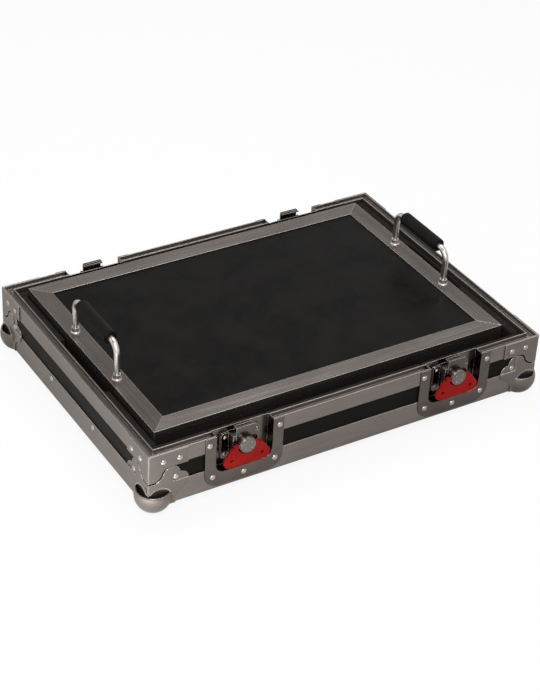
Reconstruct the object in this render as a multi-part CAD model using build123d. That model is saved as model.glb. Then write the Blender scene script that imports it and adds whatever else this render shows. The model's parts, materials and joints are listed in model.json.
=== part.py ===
from build123d import *
import os

# Base tray of a flight-style pedal case with its lift-out pedal board.
# Millimetres. X runs along the long side, Y from front to back, Z up.
# The origin is on the ground, under the middle of the tray.

# Tray
case_width = 602.0  # X, over the aluminium edging
case_depth = 435.0  # Y, over the aluminium edging
tray_height = 82.5  # from the tray's underside to the rim's lips
panel = 9.5  # laminated plywood walls and floor
edging = 1.5  # wall of every aluminium edging profile
plate = 1.5  # steel plates that lie on the edging

# Rim profile: an H that holds the wall below and takes the lid's tongue above
rim_leg = 22.5  # height of the profile's two walls
groove_depth = 6.0

# Bottom angle
angle_leg = 32.5

# Ball corners, measured from the outer corner of their three plates
ball_radius = 24.5
ball_inset = 15.5  # from the two upright plates to the ball's centre
ball_rise = 12.5  # from the bottom plate to the ball's centre
ball_skin = 1.5
ball_mouth = 21.5  # height of the mouth cut above the bottom plate
ball_blend = 4.0  # rounding where the ball leaves the plates
ear_rivet = 40.5
ear_step = 35.0  # the upright plates step in to the panel beyond this
ear_outline = (  # half of a plate: neck, arc to the lobe, arcs round the lobe to the diagonal
    (0.0, 39.5), (8.0, 39.5), (16.5, 43.2), (21.5, 50.0),
    (26.3, 57.2), (34.0, 59.0), (43.0, 55.5), (46.5, 46.5),
)
fold_radius = 2.0

# Corner braces, measured from the outer corner of their two plates
brace_reach = 57.0
brace_tongue = (  # beside the ball corner's outline, from the fold to the brace's lower edge
    (0.0, 41.7), (7.4, 41.7), (15.0, 45.0), (19.5, 52.0), (23.5, 58.0), (31.5, 60.5),
)
brace_rivets = (22.0, 45.0)
brace_rivet_rise = 9.5  # above the brace's lower edge

# Latches
latch_inset = 137.5  # from the end of the front or back to a latch
drum_drop = 22.0  # from the rim's lips to the drum's axis
drum_radius = 11.5
drum_proud = 8.5  # drum face in front of the dish's flange
drum_edge = 1.2
drum_groove_inset = 1.7  # from the face to the groove round its rim
drum_groove_width = 0.7
drum_groove_depth = 0.8
drum_pit_offset = 6.4  # the face's four pits, from the axis
drum_pit_radius = 1.1
drum_pit_depth = 0.8
crank = 5.5  # offset of the crank pin from the drum's axis
crank_pin_radius = 2.0
journal_radius = 3.2
yoke_play = 1.6  # above and below the crank pin in the hook's slot
running_gap = 0.08  # radial clearance of the turning fits
face_gap = 0.2  # clearance between sliding faces
slide_gap = 0.3  # clearance round what passes through the hook
hook_width = 27.5
hook_thickness = 2.0
hook_top = 25.5  # above the drum's axis, hook down
hook_lip = 6.0  # how far the claw reaches back
hook_slot = 2.6  # opening in the claw
flange_width = 115.0
flange_rise = 3.0  # from the tray's underside to the flange's lower edge
flange_band = 21.5  # flange below the pocket
flange_corner = 22.0
pocket_width = 82.5
pocket_corner = 12.0
pocket_depth = 14.3
pocket_skin = 1.2
pocket_lip = 1.1  # rounding where the flange turns into the pocket
pocket_gap = 0.3  # between the pocket and what it is let into
housing_width = 36.0
housing_top = 14.0
housing_bottom = 20.0
bracket_width = 58.0
bracket_top = 13.0
bracket_rise = 9.0  # from the pocket's floor
bracket_corner = 5.0
bracket_thickness = 2.5
bracket_rivet_size = 0.7  # share of the flange rivets' size
bracket_rivet_offset = 23.0
bracket_rivet_inset = 6.75  # from the bracket's upper and lower edges
pin_radius = 1.5
pin_reach = 17.5
pin_proud = 4.3  # wing hinge in front of the flange
wing_thickness = 3.0
wing_hinge_radius = 3.0
wing_cut_radius = 13.5
wing_tip_offset = 24.5
wing_tip_rise = 15.5  # from the pocket's floor to a tip's centre
wing_tip_radius = 9.5
wing_hole_offset = 22.5
wing_hole_radius = 2.3
wing_shoulder = 17.0
wing_barrel_gap = 0.8  # between the drum's side and the wing's barrels

# Rivets
rivet_head_radius = 4.4
rivet_head_height = 2.0
rivet_shank_radius = 2.0
rivet_shank = 6.0
rivet_hole_radius = 2.05
flange_upper_rivet = (51.2, 9.9)  # offset and height from the drum's axis
flange_lower_rivet = (46.0, 16.5)  # offset and height from the flange's lower edge
flange_middle_rivet = 10.5  # height from the flange's lower edge
angle_rivet_offset = 62.0
angle_rivet_height = 25.0

# Foam lining
foam = 14.2
foam_drop = 5.0  # from the rim's lips to the foam's top
foam_gap = 0.3
notch_length = 132.0
notch_depth = 45.0  # down from the foam's top
notch_inset = 7.0  # into the foam's face

# Pedal board, loose between the foam strips and pushed to the left and back
board_gap_left = 0.8
board_gap_right = 11.8
board_gap_back = 3.05
board_gap_front = 10.05
board_proud = 6.5  # above the rim's lips
board_panel_thickness = 9.0
board_angle = 25.0
riser_width = 30.0
riser_inset = 37.5  # from the board's outer edge to a riser's middle
riser_end_inset = 20.75  # from the board's edge to a riser's end

# Board handles
handle_span = 122.0
handle_height = 52.0  # from the board's top to the bow's axis
handle_inset = 11.5  # from the board's outer edge to the bow
bow_radius = 4.25
bow_bend = 15.0
neck_radius = 3.0
neck_height = 11.0
neck_tail = 7.0  # threaded end below the board panel
neck_gap = 0.1
grip_radius = 9.6
grip_length = 84.0
grip_gap = 0.1
grip_edge = 1.5
washer_radius = 7.2
washer_height = 2.4
nut_flats = 10.0
nut_height = 5.0

# Worked out from the above
underside = ball_radius - ball_rise + plate  # tray's underside above the ground
rim_width = panel + 2 * edging
rim_low = tray_height - rim_leg
web_top = tray_height - groove_depth
foam_top = tray_height - foam_drop
wall_top = web_top - edging
floor_top = edging + panel
lining = edging + panel  # depth of the wall's inner face behind the edging
board_top = tray_height + board_proud
board_under = board_top - edging - board_panel_thickness
board_width = case_width - 2 * (lining + foam) - board_gap_left - board_gap_right
board_depth = case_depth - 2 * (lining + foam) - board_gap_front - board_gap_back
board_shift_x = (board_gap_left - board_gap_right) / 2
board_shift_y = (board_gap_front - board_gap_back) / 2
riser_offset = board_width / 2 - riser_inset
riser_length = board_depth - 2 * riser_end_inset
brace_low = brace_tongue[-1][1]
latch_offset = case_width / 2 - latch_inset  # from the middle of the front or back to a latch
drum_height = tray_height - drum_drop  # above the tray's underside
flange_bottom = drum_height - flange_rise  # flange's lower edge below the drum's axis
pocket_bottom = flange_bottom - flange_band  # pocket's floor below the drum's axis
bracket_bottom = pocket_bottom - bracket_rise
wing_tip_drop = pocket_bottom - wing_tip_rise
hook_back = hook_thickness - face_gap / 2  # behind the flange's face
housing_front = hook_back + face_gap
drum_back = -2.5 * face_gap
pocket_half = pocket_width / 2 + pocket_skin + pocket_gap  # half of the square notch for a pocket
pocket_low = drum_height - pocket_bottom - pocket_skin - pocket_gap
handle_x = board_width / 2 - handle_inset

# which hand of the case lies at the low and the high end of the front's and the back's own frame
hands = {"front": {-1: "left", 1: "right"}, "back": {-1: "right", 1: "left"}}
sides = {"front": 0, "right": 90, "back": 180, "left": 270}
diagonal = Plane(origin=(0, 0, 0), z_dir=(1, -1, 0))
corners = {"front_left": 0, "front_right": 90, "back_right": 180, "back_left": 270}
nodes = {}


def block(x0, x1, y0, y1, z0, z1):
    """A box between two corners."""
    return Pos((x0 + x1) / 2, (y0 + y1) / 2, (z0 + z1) / 2) * Box(x1 - x0, y1 - y0, z1 - z0)


def disc(radius, y0, y1, x=0.0, z=0.0):
    """A cylinder along Y from y0 to y1."""
    return Pos(x, (y0 + y1) / 2, z) * Rot(90, 0, 0) * Cylinder(radius, y1 - y0)


def side_length(side):
    return case_width if side in hands else case_depth


def side_frame(side):
    """Frame on a side's edging face, at the tray's underside: x along the side, y inwards."""
    away = case_depth / 2 if side in hands else case_width / 2
    return Rot(0, 0, sides[side]) * Pos(0, -away, underside)


def corner_frame(corner):
    """Frame at an outer corner of a corner piece's plates: x and y along the two sides, inwards."""
    turned = corner in ("front_right", "back_left")
    half_x = (case_depth if turned else case_width) / 2 + plate
    half_y = (case_width if turned else case_depth) / 2 + plate
    return Rot(0, 0, corners[corner]) * Pos(-half_x, -half_y, underside - plate)


def latch_frame(side, hand):
    """Frame on a latch's drum axis, at the flange's outer face."""
    return side_frame(side) * Pos(hand * latch_offset, -plate, drum_height)


def mitred(part, length, width):
    """The part with both ends cut at 45 degrees over that width."""
    half = length / 2
    plan = Polyline((-half, 0), (half, 0), (half - width, width), (width - half, width), close=True)
    return part & Pos(0, 0, -tray_height) * extrude(make_face(plan), 3 * tray_height)


def pocket_outline(half, bottom, corner, top):
    """A U-shaped outline with rounded lower corners, in X and Z round the drum's axis."""
    shape = Plane.XZ * Pos(0, (top - bottom) / 2) * Rectangle(2 * half, top + bottom)
    low = shape.vertices().sort_by(Axis.Z)[:2]
    return fillet(low, corner)


def pocket_space(half, bottom, corner, y0, y1, top=tray_height):
    """The outline as a solid from y0 to y1."""
    return Pos(0, y0, 0) * extrude(pocket_outline(half, bottom, corner, top), y0 - y1)


def pocket_cuts(y0, y1):
    """The square notches for a side's two latch pockets, in the side's frame."""
    notch = block(-pocket_half, pocket_half, y0, y1, pocket_low, tray_height + plate)
    return [Pos(hand * latch_offset, 0, 0) * notch for hand in (-1, 1)]


# Rivets: a frame for each, on the plate's outer face with z pointing out
def rivet_frames():
    out = Rot(90, 0, 0)
    frames = {"case": [], "latch": [], "bracket": []}
    for side in hands:
        for hand in hands[side]:
            base = latch_frame(side, hand)
            lower = (flange_lower_rivet[0], flange_lower_rivet[1] - flange_bottom)
            spots = [(end * x, z) for x, z in (flange_upper_rivet, lower) for end in (-1, 1)]
            spots.append((0, flange_middle_rivet - flange_bottom))
            frames["latch"] += [base * Pos(x, 0, z) * out for x, z in spots]
            back = pocket_depth - bracket_thickness
            for z in (bracket_top - bracket_rivet_inset, bracket_rivet_inset - bracket_bottom):
                for x in (-bracket_rivet_offset, bracket_rivet_offset):
                    frames["bracket"].append(base * Pos(x, back, z) * out)
    for side in ("left", "right"):
        for end in (-1, 1):
            spot = Pos(end * angle_rivet_offset, 0, angle_rivet_height)
            frames["case"].append(side_frame(side) * spot * out)
    for corner in corners:
        base = corner_frame(corner)
        frames["case"] += [
            base * Pos(ear_rivet, plate, ear_rivet) * out,
            base * Pos(plate, ear_rivet, ear_rivet) * Rot(0, -90, 0),
            base * Pos(ear_rivet, ear_rivet, 0) * Rot(180, 0, 0),
        ]
        height = brace_low + brace_rivet_rise
        for reach in brace_rivets:
            frames["case"].append(base * Pos(reach, 0, height) * out)
            frames["case"].append(base * Pos(0, reach, height) * Rot(0, -90, 0))
    return frames


def rivet(size=1.0, shank=rivet_shank):
    """Domed head on the plate and its shank through it."""
    radius = rivet_head_radius * size
    height = rivet_head_height * size
    dome = (radius**2 + height**2) / (2 * height)
    head = Pos(0, 0, height - dome) * Sphere(dome)
    head &= Pos(0, 0, height / 2) * Cylinder(dome, height)
    return head + Pos(0, 0, -shank / 2) * Cylinder(rivet_shank_radius * size, shank)


frames = rivet_frames()
rivet_hole = Pos(0, 0, -rivet_shank / 2) * Cylinder(rivet_hole_radius, rivet_shank + 2)
bracket_shank = bracket_thickness + pocket_skin
bracket_hole_radius = rivet_hole_radius * bracket_rivet_size
bracket_hole = Pos(0, 0, -bracket_shank / 2) * Cylinder(bracket_hole_radius, bracket_shank + 1)


def drilled(part):
    """The part with the holes of every rivet that reaches it."""
    box = part.bounding_box()
    holes = []
    drills = [frame * rivet_hole for frame in frames["case"] + frames["latch"]]
    drills += [frame * bracket_hole for frame in frames["bracket"]]
    for hole in drills:
        at = hole.bounding_box()
        apart = (
            at.min.X > box.max.X or at.max.X < box.min.X
            or at.min.Y > box.max.Y or at.max.Y < box.min.Y
            or at.min.Z > box.max.Z or at.max.Z < box.min.Z
        )
        if not apart:
            holes.append(hole)
    return part - holes if holes else part


# Panels
def make_panels():
    half_x = case_width / 2 - edging
    half_y = case_depth / 2 - edging
    base = block(-half_x, half_x, -half_y, half_y, edging, floor_top)
    nodes["base_panel"] = drilled(Pos(0, 0, underside) * base)
    for side in sides:
        long_side = side in hands
        half = side_length(side) / 2 - edging - (0 if long_side else panel)
        wall = block(-half, half, edging, lining, floor_top, wall_top)
        if long_side:
            wall -= pocket_cuts(0, 2 * lining)
        nodes[f"{side}_wall"] = drilled(side_frame(side) * wall)


# Rim and bottom edging
def make_edging():
    for side in sides:
        length = side_length(side)
        half = length / 2
        rim = block(-half, half, 0, edging, rim_low, tray_height)
        rim += block(-half, half, rim_width - edging, rim_width, rim_low, tray_height)
        rim += block(-half, half, 0, rim_width, wall_top, web_top)
        rim = mitred(rim, length, rim_width)
        angle = block(-half, half, 0, edging, 0, angle_leg)
        angle += block(-half, half, 0, angle_leg, 0, edging)
        angle = mitred(angle, length, angle_leg)
        place = side_frame(side)
        if side in hands:
            angle -= pocket_cuts(-edging, 2 * edging)
            inner = latch_offset - pocket_half
            outer = latch_offset + pocket_half
            low_end, high_end = hands[side][-1], hands[side][1]
            spans = {low_end: (-half, -outer), "middle": (-inner, inner), high_end: (outer, half)}
            for name, (x0, x1) in spans.items():
                piece = rim & block(x0, x1, -1, rim_width + 1, 0, tray_height + 1)
                nodes[f"{side}_rim_{name}"] = drilled(place * piece)
        else:
            nodes[f"{side}_rim"] = drilled(place * rim)
        nodes[f"{side}_bottom_angle"] = drilled(place * angle)


# Corner pieces, in the corner frame
def ear_plate():
    """One plate of a ball corner, in X and Y: two lobes that meet at the rivet."""
    neck, bend, *lobe = ear_outline
    half = Line((0, 0), neck) + Line(neck, bend)
    half += ThreePointArc(bend, lobe[0], lobe[1])
    half += ThreePointArc(lobe[1], lobe[2], lobe[3])
    half += ThreePointArc(lobe[3], lobe[4], lobe[5])
    return make_face(half + mirror(half, about=diagonal))


def outer_folds(part):
    """The edges along which a corner piece's plates meet, on the outside."""
    return part.edges().filter_by(
        lambda edge: edge.geom_type == GeomType.LINE and sum(abs(at) < 0.001 for at in edge.center()) >= 2
    )


def seated_ear():
    """The ear on an upright side, stepped in to the panel beside its rivet, above the bottom angle."""
    outline = Plane.XZ * ear_plate()
    low = angle_leg + 2 * plate
    step = block(ear_step, brace_reach * 2, -plate, plate, low, brace_reach * 2)
    wide = block(ear_step - plate, brace_reach * 2, 0, 2 * plate, low - plate, brace_reach * 2)
    outer = extrude(outline, -plate) - step
    inner = (Pos(0, plate, 0) * extrude(outline, -plate)) & wide
    return outer + inner


def ball_corner():
    """Three plates and the hollow ball that they run into, open along the upright edge."""
    front = seated_ear()
    side = mirror(front, about=diagonal)
    shell = front + side + extrude(ear_plate(), plate)
    shell = fillet(outer_folds(shell), fold_radius)
    centre = Pos(ball_inset, ball_inset, ball_rise)
    ball = centre * Sphere(ball_radius)
    reach = 2 * ball_radius
    piece = shell + (ball - block(plate, reach, plate, reach, plate, reach))
    ends = (0, 0.5, 1)
    rims = piece.edges().filter_by(
        lambda edge: all(abs((edge @ t - centre.position).length - ball_radius) < 0.001 for t in ends)
        and any(all(abs(tuple(edge @ t)[axis]) < 0.001 for t in ends) for axis in range(3))
    )
    piece = fillet(rims, ball_blend)
    piece -= centre * Sphere(ball_radius - ball_skin)
    mouth = ball & block(-reach, reach, -reach, reach, ball_mouth, reach)
    return piece - mouth


def brace_plate():
    """One plate of a corner brace, in X and height: its tongue follows the ball corner."""
    top = tray_height + plate
    neck, bend, *tongue, last = brace_tongue
    outline = Polyline(last, (brace_reach, brace_low), (brace_reach, top), (0, top), neck, bend)
    outline += ThreePointArc(bend, tongue[0], tongue[1])
    outline += ThreePointArc(tongue[1], tongue[2], last)
    return make_face(outline)


def corner_brace():
    front = Pos(0, plate, 0) * (Rot(90, 0, 0) * extrude(brace_plate(), plate))
    side = mirror(front, about=diagonal)
    brace = front + side
    return fillet(outer_folds(brace), fold_radius)


def make_corners():
    ball = ball_corner()
    brace = corner_brace()
    for corner in corners:
        nodes[f"{corner}_ball_corner"] = drilled(corner_frame(corner) * ball)
        nodes[f"{corner}_brace"] = drilled(corner_frame(corner) * brace)


# Latches, in the latch frame
def latch_dish():
    """Flange, open-topped pocket and the housing that carries the drum."""
    top = tray_height - drum_height
    low = -flange_bottom
    half = flange_width / 2
    outline = Plane.XZ * Pos(0, (top + low) / 2) * Rectangle(2 * half, top - low)
    outline = fillet(outline.vertices().sort_by(Axis.Z)[:2], flange_corner)
    flange = extrude(outline, -plate)
    floor = pocket_bottom + pocket_skin
    bend = pocket_corner + pocket_skin
    tub = pocket_space(pocket_width / 2 + pocket_skin, floor, bend, 0, pocket_depth + pocket_skin, top)
    dish = flange + tub
    dish -= pocket_space(pocket_width / 2, pocket_bottom, pocket_corner, -1, pocket_depth, 2 * top)
    mouth = dish.edges().filter_by_position(Axis.Y, -0.01, 0.01)
    mouth = mouth.filter_by(lambda edge: abs(edge.center().X) < flange_width / 2 - pocket_lip)
    mouth = mouth.filter_by(lambda edge: edge.center().Z > -flange_bottom + pocket_lip)
    mouth = mouth.filter_by(lambda edge: edge.center().Z < top - pocket_lip)
    dish = fillet(mouth, pocket_lip)
    bracket = Plane.XZ * Pos(0, (bracket_top - bracket_bottom) / 2)
    bracket *= RectangleRounded(bracket_width, bracket_top + bracket_bottom, bracket_corner)
    dish += Pos(0, pocket_depth - bracket_thickness, 0) * extrude(bracket, -bracket_thickness)
    side = housing_width / 2
    channel = hook_width / 2 + slide_gap
    dish += block(-side, side, 0, pocket_depth, -housing_bottom, housing_top)
    dish -= block(-channel, channel, -1, housing_front, -housing_bottom, housing_top)
    return dish - disc(journal_radius + running_gap, 0, pocket_depth)


def latch_drum():
    """Drum, crank pin and journal in one turning, with the wing's hinge pin through it."""
    drum = disc(drum_radius, -drum_proud, drum_back)
    drum = fillet(drum.edges().sort_by(Axis.Y)[0], drum_edge)
    near = drum_groove_inset - drum_proud
    far = near + drum_groove_width
    drum -= disc(2 * drum_radius, near, far) - disc(drum_radius - drum_groove_depth, near, far)
    floor = drum_pit_depth - drum_proud
    pit = disc(drum_pit_radius, -drum_proud - drum_pit_depth, floor, x=drum_pit_offset)
    drum -= [Rot(0, 45 + 90 * quarter, 0) * pit for quarter in range(4)]
    drum += disc(crank_pin_radius, drum_back, hook_back, z=-crank)
    drum += disc(journal_radius, drum_back, pocket_depth - face_gap)
    pin = Pos(0, -pin_proud, 0) * Rot(0, 90, 0) * Cylinder(pin_radius, 2 * pin_reach)
    return drum + pin


def latch_hook():
    """Plate with a slotted claw turned back over its top. A cross-shaped window takes the crank pin
    in its level arm and lets the journal pass in its upright arm."""
    front = hook_back - hook_thickness
    half = hook_width / 2
    hook = disc(half, front, hook_back, z=-crank)
    hook += block(-half, half, front, hook_back, -crank, hook_top)
    hook += block(-half, half, front, hook_back + hook_lip, hook_top - hook_thickness, hook_top)
    slot_half = half - 1.5 * hook_thickness
    slot_front = hook_back + (hook_lip - hook_slot) / 2
    slot_low = hook_top - 2 * hook_thickness
    hook -= block(-slot_half, slot_half, slot_front, slot_front + hook_slot, slot_low, hook_top + 1)
    along = crank + crank_pin_radius + slide_gap
    across = crank_pin_radius + yoke_play
    hook -= block(-along, along, front - 1, hook_back + 1, -crank - across, -crank + across)
    neck = journal_radius + slide_gap
    hook -= block(-neck, neck, front - 1, hook_back + 1, -2 * crank, 0)
    return hook - [disc(neck, front - 1, hook_back + 1, z=z) for z in (0, -2 * crank)]


def latch_wing():
    """Butterfly wing, folded flat below the drum, hinged on the pin at the drum's sides."""
    circles = [
        Pos(end * wing_tip_offset, -wing_tip_drop) * CenterArc((0, 0), wing_tip_radius, 0, 360)
        for end in (-1, 1)
    ]
    circles += [
        Pos(end * wing_shoulder, 0) * CenterArc((0, 0), wing_hinge_radius, 0, 360) for end in (-1, 1)
    ]
    outline = make_hull(circles)
    middle = -pin_proud
    wing = Plane.XZ.offset(-middle - wing_thickness / 2) * extrude(outline, wing_thickness)
    near = middle - wing_thickness
    far = middle + wing_thickness
    wing -= disc(wing_cut_radius, near, far)
    reach = wing_cut_radius + wing_hinge_radius
    wing -= block(-wing_cut_radius, wing_cut_radius, near, far, 0, reach)
    barrel_in = drum_radius + wing_barrel_gap
    barrel_out = pin_reach - wing_barrel_gap / 4
    for end in (-1, 1):
        barrel = Cylinder(wing_hinge_radius, barrel_out - barrel_in)
        wing += Pos(end * (barrel_in + barrel_out) / 2, middle, 0) * Rot(0, 90, 0) * barrel
        wing -= disc(wing_hole_radius, near, far, x=end * wing_hole_offset, z=1 - wing_tip_drop)
    bore = Rot(0, 90, 0) * Cylinder(pin_radius + running_gap, 4 * pin_reach)
    return wing - Pos(0, middle, 0) * bore


def make_latches():
    dish, drum, hook, wing = latch_dish(), latch_drum(), latch_hook(), latch_wing()
    for side in hands:
        for hand, name in hands[side].items():
            place = latch_frame(side, hand)
            nodes[f"{side}_{name}_latch_dish"] = drilled(place * dish)
            nodes[f"{side}_{name}_latch_drum"] = place * drum
            nodes[f"{side}_{name}_latch_hook"] = place * hook
            nodes[f"{side}_{name}_latch_wing"] = place * wing


# Lining and board supports, in the sides' frames
def foam_length(x0, x1):
    """A length of foam against the wall and the rim's inner leg."""
    length = block(x0, x1, lining, lining + foam, floor_top, foam_top)
    return length - block(x0, x1, lining, rim_width, rim_low, foam_top)


def long_foam():
    """The lining of the front or the back, glued in five lengths: thinner ones stand behind the dishes."""
    half = case_width / 2 - lining
    inner = latch_offset - pocket_half
    outer = latch_offset + pocket_half
    behind = pocket_depth + pocket_skin + foam_gap - plate
    end = foam_length(outer, half) - block(half - edging, half, lining, lining + foam, rim_low, foam_top)
    thin = block(inner, outer, behind, lining + foam, floor_top, foam_top)
    lengths = [end, thin, mirror(end, about=Plane.YZ), mirror(thin, about=Plane.YZ)]
    return Compound([foam_length(-inner, inner)] + lengths)


def make_lining():
    for side in sides:
        if side in hands:
            strip = long_foam()
        else:
            half = case_depth / 2 - lining - foam
            middle = board_shift_y if side == "right" else -board_shift_y
            end = notch_length / 2
            low = foam_top - notch_depth
            face = lining + foam
            strip = foam_length(-half, half)
            strip -= block(middle - end, middle + end, face - notch_inset, face, low, foam_top)
        nodes[f"{side}_foam"] = side_frame(side) * strip
    for hand, name in ((-1, "left"), (1, "right")):
        x = board_shift_x + hand * riser_offset
        half = riser_width / 2
        end = riser_length / 2
        riser = block(x - half, x + half, -end, end, floor_top, board_under)
        nodes[f"{name}_board_riser"] = Pos(0, 0, underside) * riser


# Pedal board, in a frame at the tray's underside under the board's middle
board_frame = Pos(board_shift_x, board_shift_y, underside)


def handle_spots():
    return [(hand * handle_x, end * handle_span / 2) for hand in (-1, 1) for end in (-1, 1)]


def neck_holes(part):
    """The part with a hole at each foot of the handles."""
    hole = Cylinder(neck_radius + neck_gap, 2 * board_top)
    return part - [Pos(x, y, board_top) * hole for x, y in handle_spots()]


def make_board():
    half_x = board_width / 2
    half_y = board_depth / 2
    top = board_top - edging
    sheet = block(edging - half_x, half_x - edging, edging - half_y, half_y - edging, board_under, top)
    nodes["board_panel"] = board_frame * neck_holes(sheet)
    for side, turn in sides.items():
        long_side = side in hands
        length = board_width if long_side else board_depth
        away = half_y if long_side else half_x
        half = length / 2
        angle = block(-half, half, 0, board_angle, top, board_top)
        angle += block(-half, half, 0, edging, board_top - board_angle, board_top)
        angle = Rot(0, 0, turn) * Pos(0, -away, 0) * mitred(angle, length, board_angle)
        nodes[f"board_{side}_edge"] = board_frame * neck_holes(angle)


def handle_bow():
    """Bent rod with a thinner threaded neck at each foot, standing in the YZ plane."""
    half = handle_span / 2
    shoulder = board_top + neck_height
    height = board_top + handle_height
    corners_of_path = [(0, -half, shoulder), (0, -half, height), (0, half, height), (0, half, shoulder)]
    path = FilletPolyline(*corners_of_path, radius=bow_bend)
    start = Plane(origin=(0, -half, shoulder), z_dir=(0, 0, 1))
    bow = sweep(start * Circle(bow_radius), path=path)
    tail = board_under - neck_tail
    for end in (-half, half):
        bow += Pos(0, end, (tail + shoulder) / 2) * Cylinder(neck_radius, shoulder - tail)
    return bow


def handle_grip():
    sleeve = Cylinder(grip_radius, grip_length) - Cylinder(bow_radius + grip_gap, grip_length)
    sleeve = Rot(90, 0, 0) * sleeve
    rims = sleeve.edges().filter_by(GeomType.CIRCLE).sort_by(SortBy.RADIUS)[-2:]
    return Pos(0, 0, board_top + handle_height) * fillet(rims, grip_edge)


def make_handles():
    for hand, name in ((-1, "left"), (1, "right")):
        place = board_frame * Pos(hand * handle_x, 0, 0)
        nodes[f"{name}_handle_bow"] = place * handle_bow()
        nodes[f"{name}_handle_grip"] = place * handle_grip()
    bore = Cylinder(neck_radius + neck_gap, 4 * nut_height)
    ring = Cone(washer_radius, washer_radius - washer_height / 2, washer_height) - bore
    nut = extrude(RegularPolygon(nut_flats / 2, 6, major_radius=False), nut_height) - bore
    washers = [Pos(x, y, board_top + washer_height / 2) * ring for x, y in handle_spots()]
    nuts = [Pos(x, y, board_top + washer_height) * nut for x, y in handle_spots()]
    nuts += [Pos(x, y, board_under - nut_height) * nut for x, y in handle_spots()]
    nodes["handle_washers"] = board_frame * Compound(washers)
    nodes["handle_nuts"] = board_frame * Compound(nuts)


def make_rivets():
    head = rivet()
    nodes["case_rivets"] = Compound([frame * head for frame in frames["case"]])
    small = rivet(bracket_rivet_size, bracket_shank)
    latch_rivets = [frame * head for frame in frames["latch"]]
    latch_rivets += [frame * small for frame in frames["bracket"]]
    nodes["latch_rivets"] = Compound(latch_rivets)


make_panels()
make_edging()
make_corners()
make_latches()
make_lining()
make_board()
make_handles()
make_rivets()

os.makedirs("parts", exist_ok=True)
for name, shape in nodes.items():
    export_step(shape, f"parts/{name}.step")
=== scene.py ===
"""A shallow road case with a lift-out pedal board: finishes, foam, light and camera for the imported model."""

import json
import math

import bpy
from mathutils import Matrix, Vector


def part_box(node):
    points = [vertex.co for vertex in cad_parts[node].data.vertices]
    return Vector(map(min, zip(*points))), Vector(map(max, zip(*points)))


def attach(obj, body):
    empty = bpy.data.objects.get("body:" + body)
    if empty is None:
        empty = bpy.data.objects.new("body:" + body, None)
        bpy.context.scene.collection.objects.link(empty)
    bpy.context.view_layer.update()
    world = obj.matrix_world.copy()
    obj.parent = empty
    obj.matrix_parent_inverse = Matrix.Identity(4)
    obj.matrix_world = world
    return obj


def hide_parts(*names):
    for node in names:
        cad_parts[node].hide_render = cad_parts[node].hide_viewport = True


MM = 0.001

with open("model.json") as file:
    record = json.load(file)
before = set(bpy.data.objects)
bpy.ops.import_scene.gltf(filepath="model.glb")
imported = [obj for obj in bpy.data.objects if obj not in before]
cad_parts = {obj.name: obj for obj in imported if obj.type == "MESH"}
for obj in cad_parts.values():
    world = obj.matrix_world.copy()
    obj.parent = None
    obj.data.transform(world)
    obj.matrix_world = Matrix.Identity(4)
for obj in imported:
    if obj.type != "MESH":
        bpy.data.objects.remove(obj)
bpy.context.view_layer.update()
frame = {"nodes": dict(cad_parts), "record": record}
nodes = frame["nodes"]
slots = {part["node"]: part["material_slot"] for part in frame["record"]["subparts"]}


# ---------------------------------------------------------------- shader helpers

def linear(hex_colour):
    """An sRGB hex colour as linear RGBA."""
    channels = [int(hex_colour[i : i + 2], 16) / 255 for i in (1, 3, 5)]
    lit = [c / 12.92 if c <= 0.04045 else ((c + 0.055) / 1.055) ** 2.4 for c in channels]
    return (*lit, 1.0)


def per_mm(spacing):
    """A texture scale that gives one feature every so many millimetres."""
    return 1.0 / (spacing * MM)


def feed(tree, node, inputs):
    """Sets inputs, by number or by name, to a value, a socket, or a node's first output in use."""
    for name, value in inputs.items():
        if isinstance(name, int):
            socket = node.inputs[name]
        else:
            socket = next(each for each in node.inputs if each.enabled and each.name == name)
        if isinstance(value, bpy.types.Node):
            value = next(each for each in value.outputs if each.enabled)
        if isinstance(value, bpy.types.NodeSocket):
            tree.links.new(value, socket)
        else:
            socket.default_value = value


def add(tree, kind, inputs=None, **settings):
    """Adds a shader node with its settings and its inputs."""
    node = tree.nodes.new("ShaderNode" + kind)
    for name, value in settings.items():
        setattr(node, name, value)
    feed(tree, node, inputs or {})
    return node


def finish(name, **fixed):
    """A new material whose shader has those fixed values: it, its tree, its shader and the place on it."""
    made = bpy.data.materials.new(name)
    made.use_nodes = True
    tree = made.node_tree
    shader = tree.nodes["Principled BSDF"]
    feed(tree, shader, {socket.replace("_", " "): value for socket, value in fixed.items()})
    place = add(tree, "TexCoord").outputs["Object"]
    return made, tree, shader, place


# ---------------------------------------------------------------- finishes

# Colours that several finishes share
CORNER_SHADE = "#2f2a27"  # painted shade, a dull brown grey, where metal meets metal
DEEP_SHADE = "#1b1715"  # darker painted shade at the bottom of a pressing
ALUMINIUM_EDGE_HIGHLIGHT = "#dfd9d4"  # painted highlight along the edges of aluminium
# painted highlight along the edges of steel
STEEL_EDGE_HIGHLIGHT = "#d2ccc6"

# Sizes of patterns in millimetres
DIE_LINE = 2.2  # lines that the die leaves along a drawn profile: 0.2 really, drawn coarser so that they show
DIE_BAND = 16.0  # soft bands along it
DULL_CLOUD = 90.0  # patches where the aluminium has gone dull
PLATING_CLOUD = 22.0  # cloudiness of the zinc or nickel
SCUFF = 3.0  # small scratches and rubs on plating: under 1 really, drawn coarser
HANDLED = 40.0  # patches that hands have paled
GROWTH_RING = 60.0  # rings of the outer veneer, cut nearly along the log
WOOD_FIBRE = 1.6  # short dark pores: 0.3 really, drawn coarser

RAYS = 6  # samples of the shader nodes that feel for neighbouring surfaces


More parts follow.
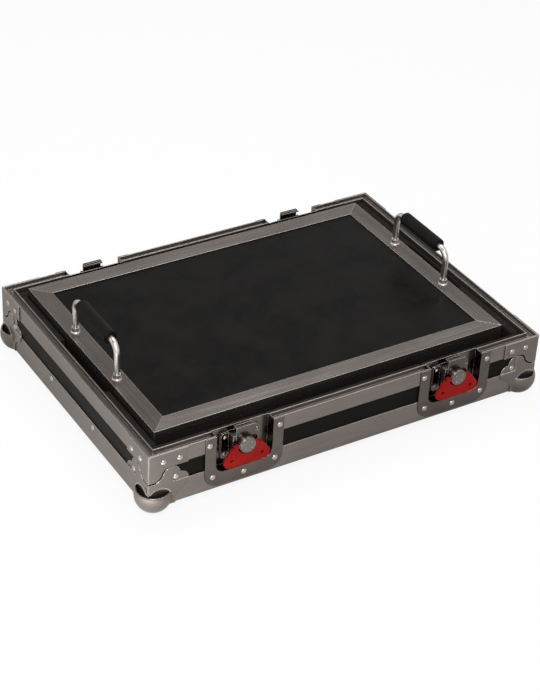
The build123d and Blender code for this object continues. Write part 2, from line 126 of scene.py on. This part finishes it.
def shaded_in_corners(tree, colour, reach=1.6, shade_colour=CORNER_SHADE):
    """The colour darkened by painted shade where surfaces meet within reach."""
    open_air = add(tree, "AmbientOcclusion", {"Distance": reach * MM}, samples=RAYS).outputs["AO"]
    unshaded = add(tree, "MapRange", {"Value": open_air, "From Min": 0.25, "From Max": 0.85})
    return add(tree, "Mix", {"Factor": unshaded, "A": linear(shade_colour), "B": colour}, data_type="RGBA")


def edge_highlighted(tree, colour, eased, bright):
    """The colour with a painted highlight along the edges, where the eased normal leaves the face's own."""
    flat = add(tree, "NewGeometry").outputs["Normal"]
    agree = add(tree, "VectorMath", {0: eased, 1: flat}, operation="DOT_PRODUCT")
    paler = add(tree, "MapRange", {"Value": agree, "From Min": 0.98, "From Max": 0.8})
    return add(tree, "Mix", {"Factor": paler, "A": colour, "B": linear(bright)}, data_type="RGBA")


def drawn_out(tree, place, along, share):
    """The place squeezed to a share along one axis, so that a pattern there runs out into streaks."""
    scale = [share if axis == along else 1.0 for axis in "XYZ"]
    return add(tree, "Mapping", {"Vector": place, "Scale": scale})


def drawn_metal(name, along, dark, light, rough):
    """Metal drawn or rolled along one axis: soft bands, fine streaks, and reflections spread across them."""
    made, tree, shader, place = finish(name, Metallic=0.92, Anisotropic=0.6, Anisotropic_Rotation=0.25)
    drawn = drawn_out(tree, place, along, 0.02)
    scratches = {"Vector": drawn, "Scale": per_mm(DIE_LINE), "Detail": 4.0, "Roughness": 0.7}
    lines = add(tree, "TexNoise", scratches)
    bands = add(tree, "TexNoise", {"Vector": drawn, "Scale": per_mm(DIE_BAND), "Detail": 1.0})
    cloud = add(tree, "TexNoise", {"Vector": place, "Scale": per_mm(DULL_CLOUD), "Detail": 3.0})
    tone = add(tree, "Math", {0: lines, 1: bands}, operation="ADD")
    tone = add(tree, "Math", {0: tone, 1: cloud}, operation="ADD")
    shade = add(tree, "MapRange", {"Value": tone, "From Min": 1.0, "From Max": 2.0})
    colour = add(tree, "Mix", {"Factor": shade, "A": linear(dark), "B": linear(light)}, data_type="RGBA")
    eased = add(tree, "Bevel", {"Radius": 0.9 * MM}, samples=RAYS)
    blur = {"Value": lines, "From Min": 0.3, "From Max": 0.7, "To Min": rough[0], "To Max": rough[1]}
    relief = {"Height": lines, "Strength": 0.25, "Distance": 0.05 * MM, "Normal": eased}
    # painted shade where surfaces meet, and a painted highlight along the edges
    feed(tree, shader, {
        "Base Color": edge_highlighted(tree, shaded_in_corners(tree, colour), eased, ALUMINIUM_EDGE_HIGHLIGHT),
        "Roughness": add(tree, "MapRange", blur),
        "Normal": add(tree, "Bump", relief),
        "Tangent": add(tree, "CombineXYZ", {along: 1.0}),
    })
    return made


def plated_metal(name, dark, light, rough, ripple=14.0, depth=0.1, reach=1.6, shade_colour=CORNER_SHADE, edge=0.8):
    """Pressed and plated steel: slight waves in the sheet, cloudy plating and small scuffs."""
    made, tree, shader, place = finish(name, Metallic=1.0)
    patches = {"Vector": place, "Scale": per_mm(PLATING_CLOUD), "Detail": 5.0, "Roughness": 0.6}
    cloud = add(tree, "TexNoise", patches)
    colour = add(tree, "Mix", {"Factor": cloud, "A": linear(dark), "B": linear(light)}, data_type="RGBA")
    scuff = add(tree, "TexNoise", {"Vector": place, "Scale": per_mm(SCUFF), "Detail": 6.0, "Roughness": 0.75})
    eased = add(tree, "Bevel", {"Radius": edge * MM}, samples=RAYS)
    dents = add(tree, "TexNoise", {"Vector": place, "Scale": per_mm(ripple), "Detail": 1.0})
    waves = add(tree, "Bump", {"Height": dents, "Strength": 0.5, "Distance": depth * MM, "Normal": eased})
    blur = {"Value": scuff, "From Min": 0.35, "From Max": 0.65, "To Min": rough[0], "To Max": rough[1]}
    relief = {"Height": scuff, "Strength": 0.08, "Distance": 0.02 * MM, "Normal": waves}
    # painted shade where surfaces meet, and a painted highlight along the edges
    feed(tree, shader, {
        "Base Color": edge_highlighted(tree, shaded_in_corners(tree, colour, reach, shade_colour), eased, STEEL_EDGE_HIGHLIGHT),
        "Roughness": add(tree, "MapRange", blur),
        "Normal": add(tree, "Bump", relief),
    })
    return made


def grained(name, colour, paler, rough, grain, depth, gloss, edge=0.6):
    """A dark non-metal with a fine grain and slightly paler patches where it has been handled."""
    made, tree, shader, place = finish(name, Specular_IOR_Level=gloss)
    patches = {"Vector": place, "Scale": per_mm(HANDLED), "Detail": 4.0, "Roughness": 0.6}
    patch = add(tree, "TexNoise", patches)
    fade = add(tree, "MapRange", {"Value": patch, "From Min": 0.4, "From Max": 0.75})
    pits = add(tree, "TexNoise", {"Vector": place, "Scale": per_mm(grain), "Detail": 3.0, "Roughness": 0.6})
    eased = add(tree, "Bevel", {"Radius": edge * MM}, samples=RAYS)
    blur = {"Value": patch, "From Min": 0.35, "From Max": 0.7, "To Min": rough[0], "To Max": rough[1]}
    relief = {"Height": pits, "Strength": 0.6, "Distance": depth * MM, "Normal": eased}
    tone = {"Factor": fade, "A": linear(colour), "B": linear(paler)}
    feed(tree, shader, {
        "Base Color": add(tree, "Mix", tone, data_type="RGBA"),
        "Roughness": add(tree, "MapRange", blur),
        "Normal": add(tree, "Bump", relief),
    })
    return made


def planed_wood(name, along, pale, ring, fibre, shade_colour):
    """Planed wood: growth rings drawn out along the strip, with short dark fibres."""
    made, tree, shader, place = finish(name, Specular_IOR_Level=0.3)
    strip = drawn_out(tree, place, along, 0.06)
    years = {"Vector": strip, "Scale": per_mm(GROWTH_RING), "Distortion": 6.0, "Detail": 2.0}
    rings = add(tree, "TexWave", years).outputs["Fac"]
    late = add(tree, "MapRange", {"Value": rings, "From Min": 0.2, "From Max": 0.9})
    fibres = {"Vector": strip, "Scale": per_mm(WOOD_FIBRE), "Detail": 3.0, "Roughness": 0.7}
    pores = add(tree, "TexNoise", fibres)
    dark = add(tree, "MapRange", {"Value": pores, "From Min": 0.52, "From Max": 0.8})
    wood = add(tree, "Mix", {"Factor": late, "A": linear(pale), "B": linear(ring)}, data_type="RGBA")
    wood = add(tree, "Mix", {"Factor": dark, "A": wood, "B": linear(fibre)}, data_type="RGBA")
    eased = add(tree, "Bevel", {"Radius": 1.2 * MM}, samples=RAYS)
    blur = {"Value": pores, "From Min": 0.3, "From Max": 0.7, "To Min": 0.5, "To Max": 0.68}
    relief = {"Height": pores, "Strength": 0.4, "Distance": 0.12 * MM, "Normal": eased}
    feed(tree, shader, {
        # painted shade where the wood meets other surfaces
        "Base Color": shaded_in_corners(tree, wood, 4.0, shade_colour),
        "Roughness": add(tree, "MapRange", blur),
        "Normal": add(tree, "Bump", relief),
    })
    return made


def make_finishes():
    """Every finish of the case, by the record's slot. Drawn profiles have one finish for each direction.

    Each has two colours between which it drifts, and its lowest and highest roughness. The grain of laminate,
    foam and rubber is under 0.5 mm on the real thing, and is drawn a few times coarser, so that it shows.
    """
    made = {
        # thin black phenolic sheet on the walls: deep black, even, with a soft sheen that pales with handling
        "laminate": grained(
            "phenolic_laminate", "#110e0c", "#171411", (0.38, 0.5), grain=1.6, depth=0.04, gloss=0.07
        ),
        # nickel-plated pressing: a dim mirror with slow waves, and painted shade that deepens towards its
        # corners
        "dish_plating": plated_metal(
            "nickel_plated_dish", "#5d5753", "#7a736e", (0.12, 0.24), reach=9.0, shade_colour=DEEP_SHADE
        ),
        # zinc-plated pressing: grey, smooth and slightly cloudy
        "corner_plating": plated_metal("zinc_plated_pressing", "#78716c", "#8b847f", (0.18, 0.28), edge=1.4),
        # the same on a small hook, darker, with deeper painted shade where its parts meet
        "hook_plating": plated_metal(
            "zinc_plated_hook", "#524c48", "#746d68", (0.16, 0.28), reach=3.0, shade_colour=DEEP_SHADE
        ),
        # turned and plated knob: bright, with turning marks, drawn much coarser than they are, that break its
        # reflections up, and a near-black painted shade in its hollows
        "drum_plating": plated_metal(
            "nickel_plated_drum", "#5c5652", "#a09993", (0.08, 0.2),
            ripple=2.6, depth=0.6, reach=2.6, shade_colour="#14110f",
        ),
        # stove enamel on steel: a clear warm red with a hard gloss and a slight orange peel
        "wing_red": grained(
            "red_enamel", "#930c08", "#a8140b", (0.16, 0.26), grain=5.0, depth=0.04, gloss=0.1, edge=1.4
        ),
        # closed-cell foam cut with a knife: matt charcoal with open cells
        "foam": grained(
            "closed_cell_foam", "#231e1b", "#2c2723", (0.85, 0.95), grain=1.2, depth=0.25, gloss=0.12
        ),
        # bare birch plywood: pale brown veneer with darker rings along the strip, seen when the board is out,
        # and brown painted shade where it meets other parts
        "plywood": planed_wood("birch_plywood", "Y", "#bd9d6d", "#a5824f", "#846439", shade_colour="#5d4a33"),
        # satin black laminate on plywood: black with a soft sheen that shows the sky at a low angle
        "board_black": grained(
            "satin_black_laminate", "#0c0a09", "#13100e", (0.26, 0.4), grain=1.4, depth=0.03, gloss=0.08
        ),
        # bright zinc on bent rod: clean, slightly blurred reflections
        "handle_plating": plated_metal(
            "bright_zinc_rod", "#c3bcb6", "#dcd6d1", (0.26, 0.36), ripple=10.0, depth=0.06
        ),
        # moulded rubber sleeve: dark, dull, faintly dusty
        "grip_rubber": grained(
            "moulded_rubber", "#120f0e", "#1b1816", (0.5, 0.65), grain=1.0, depth=0.05, gloss=0.09
        ),
        # polished tubular rivets: small bright domes
        "rivet_plating": plated_metal("bright_rivet", "#a7a19b", "#cfc9c4", (0.08, 0.16)),
    }
    # mill-finish aluminium edging: long streaks and soft bands from the die. The board's is a little smoother
    for along in "XY":
        mill = drawn_metal(f"mill_aluminium_{along}", along, "#7d7671", "#928b85", (0.26, 0.38))
        satin = drawn_metal(f"satin_aluminium_{along}", along, "#6f6863", "#8d8680", (0.2, 0.3))
        made[f"edging_{along}"] = mill
        made[f"board_edging_{along}"] = satin
    return made


def dress_nodes(finishes):
    """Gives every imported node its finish. Drawn metal follows the side that its profile runs along."""
    for name, node in nodes.items():
        slot = slots[name]
        if slot in ("edging", "board_edging"):
            beside = name.removeprefix("board_").startswith(("left", "right"))
            slot += "_Y" if beside else "_X"
        node.data.materials.clear()
        node.data.materials.append(finishes[slot])


# ---------------------------------------------------------------- foam lining

# In millimetres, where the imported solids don't give it
FOAM_PLAY = 0.35  # the pieces stand this far inside their solids
FOAM_VOXEL = 1.8
FOAM_LUMPS = ((32.0, 0.5), (7.0, 0.3))  # size of the cut face's unevenness, and how deep it goes
RECESS_LENGTH, RECESS_DEPTH, RECESS_INSET = 132.0, 45.0, 7.0
POCKET_HALF, POCKET_BEHIND = 42.75, 3.3  # half the length behind a dish, and how much thinner it is
RIM_WALL = 1.5
CUT_OVER = 3.0  # how far a cutter reaches past the face that it opens


def brick(name, low, high):
    """A box between two corners, in millimetres, as an object at the origin."""
    bpy.ops.object.select_all(action="DESELECT")
    middle = [(a + b) / 2 * MM for a, b in zip(low, high)]
    bpy.ops.mesh.primitive_cube_add(size=1.0, location=middle)
    piece = bpy.context.object
    piece.name = name
    piece.scale = [(b - a) * MM for a, b in zip(low, high)]
    bpy.ops.object.transform_apply(location=True, rotation=True, scale=True)
    return piece


def apply_modifiers(piece):
    """Makes the piece's mesh what its modifiers show, and leaves the piece selected."""
    bpy.ops.object.select_all(action="DESELECT")
    bpy.context.view_layer.objects.active = piece
    piece.select_set(True)
    for modifier in list(piece.modifiers):
        bpy.ops.object.modifier_apply(modifier=modifier.name)


def cut_away(piece, cutters):
    """Takes the cutters out of the piece and deletes them."""
    for cutter in cutters:
        cut = piece.modifiers.new("cut", "BOOLEAN")
        cut.operation = "DIFFERENCE"
        cut.solver = "EXACT"
        cut.object = cutter
        apply_modifiers(piece)
        bpy.data.objects.remove(cutter)


def soften(piece):
    """Gives a plain block the soft edges and the never quite flat faces of foam cut with a knife."""
    grid = piece.modifiers.new("grid", "REMESH")
    grid.mode = "VOXEL"
    grid.voxel_size = FOAM_VOXEL * MM
    ease = piece.modifiers.new("ease", "SMOOTH")
    ease.factor = 0.5
    ease.iterations = 3
    for size, depth in FOAM_LUMPS:
        lumps = bpy.data.textures.new(f"lumps_{size:.0f}", "CLOUDS")
        lumps.noise_scale = size * MM
        swell = piece.modifiers.new("swell", "DISPLACE")
        swell.texture = lumps
        swell.strength = depth * MM
        swell.texture_coords = "LOCAL"
    apply_modifiers(piece)
    bpy.ops.object.shade_smooth()


def finish_foam(piece, side, finishes):
    """Softens a piece of foam and sets it in place of that side's solid."""
    soften(piece)
    piece.data.materials.append(finishes["foam"])
    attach(piece, "case")
    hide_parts(f"{side}_foam")


def side_foam(side, finishes):
    """The left or right strip: one length, hollowed where fingers reach for the board."""
    low, high = (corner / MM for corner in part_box(f"{side}_foam"))
    inwards = 1 if side == "left" else -1
    outer, inner = (low.x, high.x) if side == "left" else (high.x, low.x)
    play = Vector((FOAM_PLAY, FOAM_PLAY, FOAM_PLAY))
    strip = brick(f"{side}_foam_strip", low + play, high - play)
    top = high.z + CUT_OVER
    # the rim's inner leg hangs down in a step along the strip's outer edge
    rim_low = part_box(f"{side}_rim")[0].z / MM
    leg = sorted((outer - inwards * CUT_OVER, outer + inwards * (RIM_WALL + FOAM_PLAY)))
    step = brick("leg", (leg[0], low.y - CUT_OVER, rim_low - FOAM_PLAY), (leg[1], high.y + CUT_OVER, top))
    # the recess lies beside the middle of the board
    board_low, board_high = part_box("board_panel")
    middle = (board_low.y + board_high.y) / 2 / MM
    face = sorted((inner - inwards * RECESS_INSET, inner + inwards * CUT_OVER))
    ends = middle - RECESS_LENGTH / 2, middle + RECESS_LENGTH / 2
    recess = brick("recess", (face[0], ends[0], high.z - RECESS_DEPTH), (face[1], ends[1], top))
    cut_away(strip, [step, recess])
    finish_foam(strip, side, finishes)


def end_foam(side, finishes):
    """The front or back lining: five lengths with butt joints, the thinner ones behind the dishes."""
    low, high = (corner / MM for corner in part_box(f"{side}_foam"))
    inwards = 1 if side == "front" else -1
    outer, inner = (low.y, high.y) if side == "front" else (high.y, low.y)
    rim_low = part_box(f"{side}_rim_middle")[0].z / MM
    dish_boxes = [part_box(f"{side}_{hand}_latch_dish") for hand in ("left", "right")]
    dishes = sorted(sum(corner.x for corner in box) / 2 / MM for box in dish_boxes)
    joints = [low.x] + [dish + end * POCKET_HALF for dish in dishes for end in (-1, 1)] + [high.x]
    for count, (start, end) in enumerate(zip(joints, joints[1:])):
        thin = count % 2 == 1
        behind = outer + inwards * ((POCKET_BEHIND if thin else 0) + FOAM_PLAY)
        faces = sorted((behind, inner - inwards * FOAM_PLAY))
        piece = brick(
            f"{side}_foam_{count + 1}",
            (start + FOAM_PLAY, faces[0], low.z + FOAM_PLAY),
            (end - FOAM_PLAY, faces[1], high.z - FOAM_PLAY),
        )
        if not thin:
            leg = sorted((outer - inwards * CUT_OVER, outer + inwards * (RIM_WALL + FOAM_PLAY)))
            bottom = (start - CUT_OVER, leg[0], rim_low - FOAM_PLAY)
            top = (end + CUT_OVER, leg[1], high.z + CUT_OVER)
            cut_away(piece, [brick("leg", bottom, top)])
        finish_foam(piece, side, finishes)


# ---------------------------------------------------------------- floor, light and camera

WHITE = linear("#ffffff")
FLOOR_SIZE = 14.0
FLOOR_GLOW = 0.9  # how much of the floor that the eye sees is even white, and not paint with its shadow

# Bright areas: centre (in metres on the floor, or a direction in the sky), reach, strength away from the
# centre and strength at it. Those on the floor are painted pools of light that the floor gives off only to
# metal
PAINTED_LIGHT_POOLS = (
    ((-0.75, -0.6, 0.0), 1.0, 0.0, 0.8),
    ((-0.46, -0.35, 0.0), 0.26, 0.0, 2.4),
)
SOFTBOXES = (
    ((0.42, -0.30, 0.86), 0.5, 0.0, 2.6),
    ((-0.25, -0.84, 0.48), 0.42, 0.0, 4.0),
    ((-0.72, 0.55, 0.42), 0.4, 0.0, 1.6),
    ((0.42, 0.42, 0.8), 0.3, 0.0, 3.2),
)
ROOM_LIGHT = 0.45  # what the sky gives to dull surfaces
HORIZON, CEILING = 0.95, 0.2  # what metal mirrors of it, low down and high up

# name, place, size in metres and watts
LAMPS = (
    ("key", (-1.1, -1.3, 1.9), (1.2, 1.2), 28.0),
    ("top", (0.2, 0.6, 2.2), (1.6, 1.0), 18.0),
)
LIT_SPOT = Vector((0.0, 0.0, 0.05))

CAMERA_AZIMUTH = math.radians(-32.66)
CAMERA_ELEVATION = math.radians(34.31)
CAMERA_ROLL = math.radians(3.35)
CAMERA_PLACE = Vector((-1177.29, -1845.70, 1524.78)) * MM
FOCAL_PIXELS = 1894.01
FRAME_HEIGHT = 700
SENSOR = 36.0


def seen_directly(tree):
    """1 for what the camera sees, straight, in a mirror or through glass, and 0 for light that only falls."""
    path = add(tree, "LightPath").outputs
    seen = add(tree, "Math", {0: path["Is Camera Ray"], 1: path["Is Glossy Ray"]}, operation="MAXIMUM")
    return add(tree, "Math", {0: seen, 1: path["Is Transmission Ray"]}, operation="MAXIMUM")


def pool(tree, place, centre, reach, base, peak):
    """A strength that rises smoothly from base to peak within reach of a centre, as a light pool does."""
    apart = add(tree, "VectorMath", {0: place, 1: centre}, operation="DISTANCE")
    near = {"Value": apart, "From Min": 0.0, "From Max": reach, "To Min": peak, "To Max": base}
    return add(tree, "MapRange", near, interpolation_type="SMOOTHSTEP")


def make_floor():
    """A pale floor. Metal mirrors it a little darker than it looks, with painted pools of light by the near
    corner.
    """
    bpy.ops.mesh.primitive_plane_add(size=FLOOR_SIZE)
    floor = bpy.context.object
    floor.name = "floor"
    made = bpy.data.materials.new("pale_floor")
    made.use_nodes = True
    tree = made.node_tree
    tree.nodes.clear()
    # what the eye sees
    paint = add(tree, "BsdfDiffuse", {"Color": linear("#f4f4f4")})
    glow = add(tree, "Emission", {"Color": WHITE, "Strength": 1.0})
    direct = add(tree, "MixShader", {0: FLOOR_GLOW, 1: paint, 2: glow})
    # what metal mirrors
    place = add(tree, "TexCoord").outputs["Object"]
    far, near = (pool(tree, place, *light) for light in PAINTED_LIGHT_POOLS)
    both = add(tree, "Math", {0: far, 1: near}, operation="ADD")
    light = add(tree, "Emission", {"Color": WHITE, "Strength": both})
    dim_paint = add(tree, "BsdfDiffuse", {"Color": linear("#d0cecc")})
    mirrored = add(tree, "AddShader", {0: dim_paint, 1: light})
    is_mirrored = add(tree, "LightPath").outputs["Is Glossy Ray"]
    seen = add(tree, "MixShader", {0: is_mirrored, 1: direct, 2: mirrored})
    mix = add(tree, "MixShader", {0: seen_directly(tree), 1: paint, 2: seen})
    add(tree, "OutputMaterial", {"Surface": mix})
    floor.data.materials.append(made)


def make_world():
    """Even light on what is dull. Metal mirrors a bright horizon, a dim ceiling and the softboxes in it."""
    world = bpy.data.worlds.new("studio")
    bpy.context.scene.world = world
    world.use_nodes = True
    tree = world.node_tree
    tree.nodes.clear()
    soft = add(tree, "Background", {"Color": WHITE, "Strength": ROOM_LIGHT})
    direction = add(tree, "TexCoord").outputs["Generated"]
    height = add(tree, "SeparateXYZ", {0: direction}).outputs["Z"]
    rise = {"Value": height, "From Min": 0.05, "From Max": 0.8, "To Min": HORIZON, "To Max": CEILING}
    strength = add(tree, "MapRange", rise)
    for softbox in SOFTBOXES:
        strength = add(tree, "Math", {0: strength, 1: pool(tree, direction, *softbox)}, operation="ADD")
    white = add(tree, "Background", {"Color": WHITE, "Strength": 1.0})
    shaded = add(tree, "Background", {"Color": WHITE, "Strength": strength})
    is_camera = add(tree, "LightPath").outputs["Is Camera Ray"]
    seen = add(tree, "MixShader", {0: is_camera, 1: shaded, 2: white})
    mix = add(tree, "MixShader", {0: seen_directly(tree), 1: soft, 2: seen})
    add(tree, "OutputWorld", {"Surface": mix})


def make_lamp(name, place, size, watts):
    """A rectangular lamp that points at the case."""
    data = bpy.data.lights.new(name, "AREA")
    data.shape = "RECTANGLE"
    data.size, data.size_y = size
    data.energy = watts
    lamp = bpy.data.objects.new(name, data)
    bpy.context.scene.collection.objects.link(lamp)
    lamp.location = place
    lamp.rotation_euler = (LIT_SPOT - Vector(place)).to_track_quat("-Z", "Y").to_euler()


def make_camera():
    """The camera, turned by azimuth, elevation and a slight roll."""
    back = Vector((
        math.sin(CAMERA_AZIMUTH) * math.cos(CAMERA_ELEVATION),
        -math.cos(CAMERA_AZIMUTH) * math.cos(CAMERA_ELEVATION),
        math.sin(CAMERA_ELEVATION),
    ))
    level = (-back).cross(Vector((0, 0, 1))).normalized()
    upright = level.cross(-back)
    right = math.cos(CAMERA_ROLL) * level + math.sin(CAMERA_ROLL) * upright
    up = math.cos(CAMERA_ROLL) * upright - math.sin(CAMERA_ROLL) * level
    data = bpy.data.cameras.new("camera")
    data.sensor_width = SENSOR
    data.lens = SENSOR * FOCAL_PIXELS / FRAME_HEIGHT
    camera = bpy.data.objects.new("camera", data)
    bpy.context.scene.collection.objects.link(camera)
    turn = Matrix((right, up, back)).transposed().to_4x4()
    camera.matrix_world = Matrix.Translation(CAMERA_PLACE) @ turn
    bpy.context.scene.camera = camera


# ---------------------------------------------------------------- the whole scene

finishes = make_finishes()
dress_nodes(finishes)
for side in ("left", "right"):
    side_foam(side, finishes)
for side in ("front", "back"):
    end_foam(side, finishes)
make_floor()
make_world()
for lamp in LAMPS:
    make_lamp(*lamp)
bpy.context.scene.view_settings.view_transform = "Standard"
make_camera()
